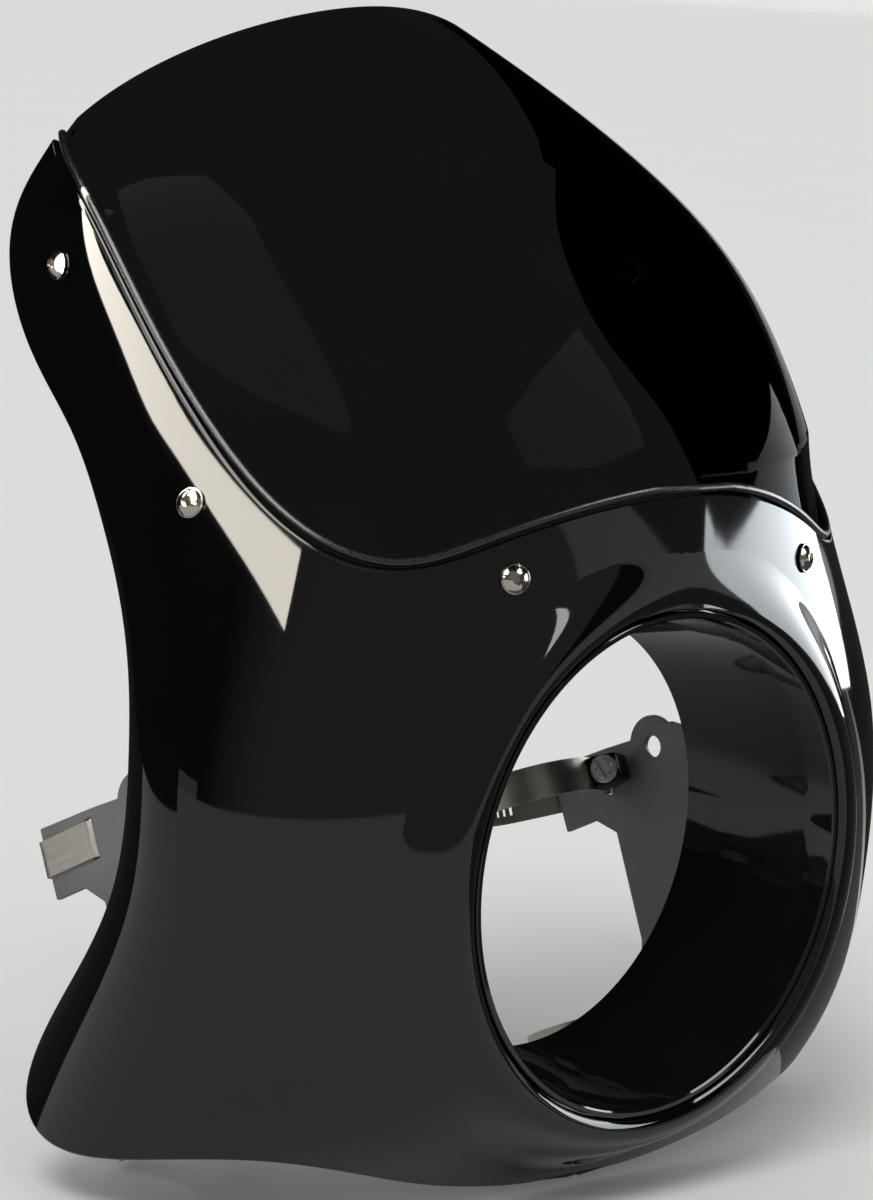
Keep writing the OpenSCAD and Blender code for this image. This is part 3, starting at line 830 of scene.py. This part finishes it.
# %% Softened copies of CAD parts
def softened(cad_name, name, width):
    """A copy of a CAD node with its edges rounded by width in mm."""
    piece = NODES[cad_name].copy()
    piece.data = NODES[cad_name].data.copy()
    piece.parent = None
    piece.matrix_world = Matrix.Identity(4)
    for key in list(piece.keys()):
        if key.startswith("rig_"):
            del piece[key]
    bpy.context.collection.objects.link(piece)
    pick(piece)
    piece.name = name
    bpy.ops.object.mode_set(mode="EDIT")
    bpy.ops.mesh.select_all(action="SELECT")
    bpy.ops.mesh.remove_doubles(threshold=0.005 * MM)
    bpy.ops.mesh.dissolve_limited(angle_limit=math.radians(1.0))
    bpy.ops.object.mode_set(mode="OBJECT")
    soft = piece.modifiers.new("soft", "BEVEL")
    soft.width, soft.segments = width * MM, 2
    soft.limit_method, soft.angle_limit = "ANGLE", math.radians(40)
    bpy.ops.object.modifier_apply(modifier="soft")
    bpy.ops.object.shade_smooth_by_angle(angle=math.radians(35))
    return piece


plates = [softened(f"bracket_{side}", f"bracket_plate_{side}", 0.45) for side in ("left", "right")]
nuts = softened("shield_nuts", "shield_nuts_soft", 0.3)
washers = softened("shield_washers", "shield_washers_soft", 0.2)
plate_screws = softened("bracket_screws", "bracket_screws_soft", 0.3)
plate_washers = softened("bracket_washers", "bracket_washers_soft", 0.2)
print("softened parts:", len(plates + [nuts, washers, plate_screws, plate_washers]))

# %% [markdown]
# ## Materials: colour and nodes
#
# Every material below starts from the real one. Colours are written as they look on a
# screen, in hex, and one function turns them to the linear values that light needs.
# One other function adds a node with its settings and links. Every finish here is a
# plain surface whose gloss and colour drift a little over a fine or a broad pattern, and
# some have a relief too, so one function builds them all from sizes in millimetres.

# %% Colour and node helpers
def linear(code, alpha=1.0):
    """sRGB hex to linear colour."""
    out = []
    for k in (0, 2, 4):
        c = int(code[k:k + 2], 16) / 255
        out.append(c / 12.92 if c <= 0.04045 else ((c + 0.055) / 1.055) ** 2.4)
    return (*out, alpha)


def node(tree, kind, values=None, links=None, **settings):
    """Adds a node; values sets sockets, links joins them, settings are its options."""
    made = tree.nodes.new(kind)
    for key, value in settings.items():
        setattr(made, key, value)
    for key, value in (values or {}).items():
        made.inputs[key].default_value = value
    for key, source in (links or {}).items():
        tree.links.new(source, made.inputs[key])
    return made


def material(name, **shader_values):
    """A plain material, with the shader's values given by name."""
    made = bpy.data.materials.new(name)
    made.use_nodes = True
    shader = made.node_tree.nodes["Principled BSDF"]
    for key, value in shader_values.items():
        shader.inputs[key.replace("_", " ")].default_value = value
    return made, made.node_tree, shader


def finish(name, colours, gloss, grain, broad=None, relief=None, peel=None, rolled=False,
           **shader_values):
    """
    A material whose colour and roughness drift between two values each.

    grain is the (size in mm, detail) of its pattern. broad gives the colour, and peel the
    relief, a pattern of its own. relief is a (strength, depth in mm), and rolled draws
    the pattern out to streaks across the fork tubes.
    """
    made, tree, shader = material(name, **shader_values)
    place = node(tree, "ShaderNodeTexCoord").outputs["Object"]
    if rolled:
        drawn = node(tree, "ShaderNodeMapping", {"Rotation": (-RAKE, 0, 0), "Scale": (30.0, 30.0, 1.0)},
                     {"Vector": place}, vector_type="TEXTURE")
        place = drawn.outputs["Vector"]
    noise = {}
    for size, detail in dict.fromkeys([grain, broad or grain, peel or grain]):
        made_noise = node(tree, "ShaderNodeTexNoise", {"Scale": 1 / (size * MM), "Detail": detail},
                          {"Vector": place})
        noise[size, detail] = made_noise.outputs["Fac"]
    drift = node(tree, "ShaderNodeMapRange",
                 {"From Min": 0.3, "From Max": 0.7, "To Min": gloss[0], "To Max": gloss[1]},
                 {"Value": noise[grain]})
    tree.links.new(drift.outputs[0], shader.inputs["Roughness"])
    mixed = node(tree, "ShaderNodeMix", {6: linear(colours[0]), 7: linear(colours[1])},
                 {0: noise[broad or grain]}, data_type="RGBA")
    tree.links.new(mixed.outputs[2], shader.inputs["Base Color"])
    if relief:
        bump = node(tree, "ShaderNodeBump", {"Strength": relief[0], "Distance": relief[1] * MM},
                    {"Height": noise[peel or grain]})
        for normal in ("Normal", "Coat Normal"):
            tree.links.new(bump.outputs["Normal"], shader.inputs[normal])
    return made


def dress(pieces, made):
    """Gives pieces a material."""
    for piece in pieces:
        piece.data.materials.clear()
        piece.data.materials.append(made)
    print(made.name, "on", len(pieces), "pieces")


# %% [markdown]
# ### Gloss black lacquer
#
# The shell is glass-fibre or ABS with a polished gloss-black lacquer. The colour is
# almost pure black, so what the eye sees is the clear coat's reflections. Real lacquer
# is not a perfect mirror: it has a faint orange peel, 3 mm across here, and wiping
# leaves patches that are a little less sharp. The base has no mirror of its own, so
# that the coat alone decides how bright a reflection is.

# %% Lacquer
lacquer = finish("gloss_black_lacquer", ("050505", "090909"), (0.10, 0.20), (45, 2),
                 relief=(0.03, 0.02), peel=(3.0, 1), Specular_IOR_Level=0.0,
                 Coat_Weight=1.0, Coat_Roughness=0.045, Coat_IOR=1.45)
dress([shell, shell_rim, lip, flare] + bosses, lacquer)

# %% [markdown]
# ### Sleeve lacquer
#
# The sleeve has the same black lacquer on a turned wall, without the orange peel. It
# mirrors the clamps and the bracket behind it.

# %% Sleeve finish
sleeve_paint = finish("gloss_black_sleeve", ("0a0a0a", "101010"), (0.08, 0.16), (30, 2),
                      Specular_IOR_Level=0.0, Coat_Weight=1.0, Coat_Roughness=0.05, Coat_IOR=1.45)
dress([sleeve], sleeve_paint)

# %% [markdown]
# ### Smoked acrylic
#
# The sheet is dyed so dark that about a hundredth of the light gets through its 3 mm.
# The colour is given to the shader's own transmission, which tints the light at each
# face. Acrylic has an index of 1.49, but the photograph shows almost no mirror image in
# it, as with a polarising filter, so a much lower index is used here.

# %% Smoke
smoke = finish("smoked_acrylic", ("161617", "1a1a1b"), (0.01, 0.03), (60, 2),
               IOR=1.04, Transmission_Weight=1.0)
dress([windshield], smoke)

# %% [markdown]
# ### Rubber
#
# EPDM rubber, extruded: black, a little shiny along its crown, with a fine drag grain.

# %% Rubber
rubber = finish("extruded_epdm_rubber", ("0a0a0a", "141414"), (0.22, 0.42), (0.8, 2),
                relief=(0.15, 0.05), IOR=1.5)
dress([edge_bead, washers], rubber)

# %% [markdown]
# ### Polished screws and dull zinc
#
# The button heads are polished stainless steel, with a hint of warmth. Nuts, worms and
# hidden screws are zinc plated. A zinc layer is a mottle of tiny crystals that scatters
# part of the light, so it is given as less than fully metallic.

# %% Screws and nuts
polished = finish("polished_stainless", ("98938a", "b0aba2"), (0.08, 0.2), (1.2, 3), Metallic=1.0)
dress(screws, polished)
zinc = finish("zinc_plated_steel", ("c4c4c0", "dcdcd8"), (0.25, 0.45), (1.5, 4), Metallic=0.6)
dress([nuts, plate_screws, plate_washers] + worms, zinc)

# %% [markdown]
# ### Rolled strip and black zinc
#
# The bands are rolled stainless strip. Rolling leaves long streaks of a few hundredths
# of a millimetre, drawn here 0.4 mm apart so that they show. The pressed housings are
# plated black, as their dull, dark mirror in the photograph tells.

# %% Bands and housings
strip_steel = finish("rolled_stainless_strip", ("cbc6bc", "dad5cb"), (0.3, 0.45), (0.4, 2),
                     rolled=True, Metallic=1.0)
dress(bands, strip_steel)
dark_steel = finish("black_zinc_steel", ("2c2b29", "3a3937"), (0.28, 0.45), (1.5, 3), Metallic=1.0)
dress(housings, dark_steel)

# %% [markdown]
# ### Satin grey brackets
#
# The plates are laser-cut steel with a satin grey powder coat: an even, soft sheen with
# the fine pebble of baked powder, about 0.6 mm across, and a broader drift in colour.

# %% Powder coat
powder = finish("satin_grey_powder_coat", ("6b6b6c", "757576"), (0.38, 0.52), (0.6, 2),
                broad=(25, 2), relief=(0.25, 0.03), IOR=1.5)
dress(plates, powder)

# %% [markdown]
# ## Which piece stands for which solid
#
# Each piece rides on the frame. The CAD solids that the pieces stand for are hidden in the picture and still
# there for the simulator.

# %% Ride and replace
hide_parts("shell")
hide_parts("windshield")
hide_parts("headlight_sleeve")
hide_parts("edge_trim")
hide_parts("shield_screws")
for (level, side, _, _), band, house in zip(CLAMPS, bands, housings):
    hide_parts(f"band_{level}_{side}")
    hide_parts(f"housing_{level}_{side}")
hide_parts("worm_screws")
for side, plate in zip(("left", "right"), plates):
    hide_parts(f"bracket_{side}")
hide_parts("shield_nuts")
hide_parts("shield_washers")
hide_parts("bracket_screws")
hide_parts("bracket_washers")
everything = [shell, shell_rim, lip, flare, windshield, sleeve, edge_bead]
everything += [nuts, washers, plate_screws, plate_washers]
everything += bosses + screws + bands + housings + worms + plates
for piece in everything:
    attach(piece, "root")
print("pieces:", len(everything))

# %% [markdown]
# ## The floor and the air
#
# The studio is a pale floor that turns up into a far wall. Diffuse surfaces get an even
# white fill from the world, but mirrors see a quiet dark room, as they do in a studio
# that is lit by softboxes alone.

# %% Floor and world
FLOOR_Z = CAD_BOX[0][2]
FLOOR_R, WALL_H, COVE = 200, 15, 14
FILL, ROOM = 0.6, "101012"
clear()
bpy.ops.mesh.primitive_cylinder_add(vertices=160, radius=FLOOR_R, depth=WALL_H, end_fill_type="NGON",
                                    location=(0, 0, FLOOR_Z + WALL_H / 2))
floor = bpy.context.object
floor.name = "studio_floor"
for f in floor.data.polygons:
    f.select = f.normal.z > 0.9
bpy.ops.object.mode_set(mode="EDIT")
bpy.ops.mesh.delete(type="FACE")
bpy.ops.object.mode_set(mode="OBJECT")
cove = floor.modifiers.new("cove", "BEVEL")
cove.width, cove.segments, cove.limit_method = COVE, 24, "ANGLE"
bpy.ops.object.modifier_apply(modifier="cove")
bpy.ops.object.shade_smooth()
paper = finish("studio_paper", ("e6e6e4", "e9e9e7"), (0.9, 0.9), (400, 2), Specular_IOR_Level=0.2)
floor.data.materials.append(paper)

world = bpy.data.worlds.new("studio")
bpy.context.scene.world = world
world.use_nodes = True
tree = world.node_tree
path = node(tree, "ShaderNodeLightPath")
fill = tree.nodes["Background"]
fill.inputs["Color"].default_value = (1, 1, 1, 1)
fill.inputs["Strength"].default_value = FILL
room = node(tree, "ShaderNodeBackground", {"Color": linear(ROOM), "Strength": 1.0})
seen = node(tree, "ShaderNodeMixShader",
            links={0: path.outputs["Is Diffuse Ray"], 1: room.outputs[0], 2: fill.outputs[0]})
tree.links.new(seen.outputs[0], tree.nodes["World Output"].inputs["Surface"])
print("floor at", round(FLOOR_Z, 4), "m")

# %% [markdown]
# ## Cards for the mirror images
#
# Gloss black has no shading of its own: it is drawn by what it mirrors. So each highlight
# of the photograph was followed from the camera to the surface and off it again, and a
# glowing card stands where it came from. A card faces the fairing from a compass
# direction, where 0 is the front and 90 the right, and a tilt above the floor. Cards are
# only seen as mirror images. The soft sun below does the plain lighting.

# %% Card helpers
def leaning(facing, tilt, distance, outline):
    """Points of a card that faces the fairing, from [sideways, up] in mm on the card."""
    a, e = math.radians(facing), math.radians(tilt)
    middle = Vector((math.sin(a) * math.cos(e), -math.cos(a) * math.cos(e), math.sin(e))) * distance
    sideways = Vector((math.cos(a), math.sin(a), 0))
    upwards = Vector((-math.sin(a) * math.sin(e), math.cos(a) * math.sin(e), math.cos(e)))
    return [middle + sideways * h + upwards * v for h, v in outline]


def card(name, points, brightness, tint="ffffff", fade=None):
    """
    A flat card that is only seen as a mirror image.

    fade is (direction, start, end) in mm: along it the card gets brighter, from nothing.
    """
    made = outline_mesh(name, points)
    bpy.ops.mesh.edge_face_add()
    bpy.ops.object.mode_set(mode="OBJECT")
    glow, tree, shader = material(f"{name}_glow", Emission_Color=linear(tint),
                                  Emission_Strength=brightness, Base_Color=(0, 0, 0, 1),
                                  Roughness=1.0, Specular_IOR_Level=0.0)
    if fade:
        direction, start, end = fade
        place = node(tree, "ShaderNodeTexCoord")
        along = node(tree, "ShaderNodeVectorMath", {1: direction}, {0: place.outputs["Object"]},
                     operation="DOT_PRODUCT")
        eased = node(tree, "ShaderNodeMapRange",
                     {"From Min": start * MM, "From Max": end * MM, "To Min": 0.0, "To Max": brightness},
                     {"Value": along.outputs["Value"]}, interpolation_type="SMOOTHSTEP")
        tree.links.new(eased.outputs[0], shader.inputs["Emission Strength"])
    made.data.materials.append(glow)
    made.visible_camera = made.visible_diffuse = False
    made.visible_shadow = made.visible_transmission = False


# %% [markdown]
# The warm wedge on the left flank is a hooked strip of light. It stands close by, because
# a card far away is mirrored twice by a surface that curves both ways. The cooler card on
# the right gives the long highlight beside the opening.

# %% Bright cards
WEDGE_OUTSIDE = [(-196, 104), (-215, 61), (-203, 10), (-169, 3), (-129, -7), (-89, -15), (-48, -28)]
WEDGE_INSIDE = [(-58, -3), (-100, 0), (-139, 6), (-181, 19), (-197, 77), (-192, 104)]
wedge = np.vstack([open_curve(WEDGE_OUTSIDE, 30), open_curve(WEDGE_INSIDE, 30)])
card("left_card", leaning(-80, 40, 240, wedge), 19, "fff8ea")
card("right_card", leaning(80, 0, 700, [
    (-389, -4), (-335, 17), (-274, 29), (-183, 38), (-90, 46), (0, 43), (54, 29), (216, 19),
    (274, 77), (300, 330), (-420, 330)]), 8, "f3faff")

# %% [markdown]
# The bubble shows two pale patches, and the lower half of the shell a dim grey glow that
# fades towards the left, as from a wall of the room that is lit from one end.

# %% Dim cards
LEFT_FRONT = -45
card("front_glow", leaning(LEFT_FRONT, 0, 1500, [(-1600, 30), (4000, 30), (4000, 2600), (-1600, 2600)]), 0.25,
     fade=((math.cos(math.radians(LEFT_FRONT)), math.sin(math.radians(LEFT_FRONT)), 0), -1500, -100))
card("patch_left", leaning(-80, 40, 320, [
    (-269, 180), (-251, 208), (-212, 235), (-154, 207), (-26, 72), (-15, 53), (-28, -3),
    (-66, -6), (-127, -7), (-177, 1), (-199, 66), (-238, 138)]), 9)
card("patch_right", leaning(35, 40, 800, [
    (212, 368), (136, 192), (78, 52), (-92, 37), (-304, 29), (-466, 52), (-328, 308), (-35, 355)]), 9)

# %% [markdown]
# The floor would be mirrored as one pale field. Dark cloths on it and a curtain behind
# keep the right flank and the sleeve as black as they are in the photograph.

# %% Dark cloths
low = FLOOR_Z / MM + 1
card("dark_curtain", leaning(-145, 0, 1500, [(-1300, -128), (1100, -128), (1100, 450), (-1300, 450)]), 0.01)
card("dark_cloth_right", [(170, -1500, low), (6000, -1500, low), (6000, 200, low), (170, 200, low)], 0.12)
card("dark_cloth_behind", [(-250, 240, low), (6000, 240, low), (6000, 9000, low), (-3500, 9000, low)], 0.03)
print("cards:", sum(thing.name.endswith("_glow") for thing in bpy.data.materials))

# %% [markdown]
# One large, soft sun models the dull pieces and lays the shadow on the floor. It is kept
# out of mirror images, where it would show as a round spot.

# %% Soft sun
clear()
bpy.ops.object.light_add(type="SUN")
sun = bpy.context.object
sun.name = "soft_sun"
sun.data.energy, sun.data.angle = 1.3, math.radians(25)
sun.rotation_euler = Vector((-1.0, -0.55, 1.5)).to_track_quat("Z", "Y").to_euler()
sun.visible_glossy = sun.visible_transmission = False
bpy.context.scene.view_settings.view_transform = "Standard"
print("sun strength:", round(sun.data.energy, 2))
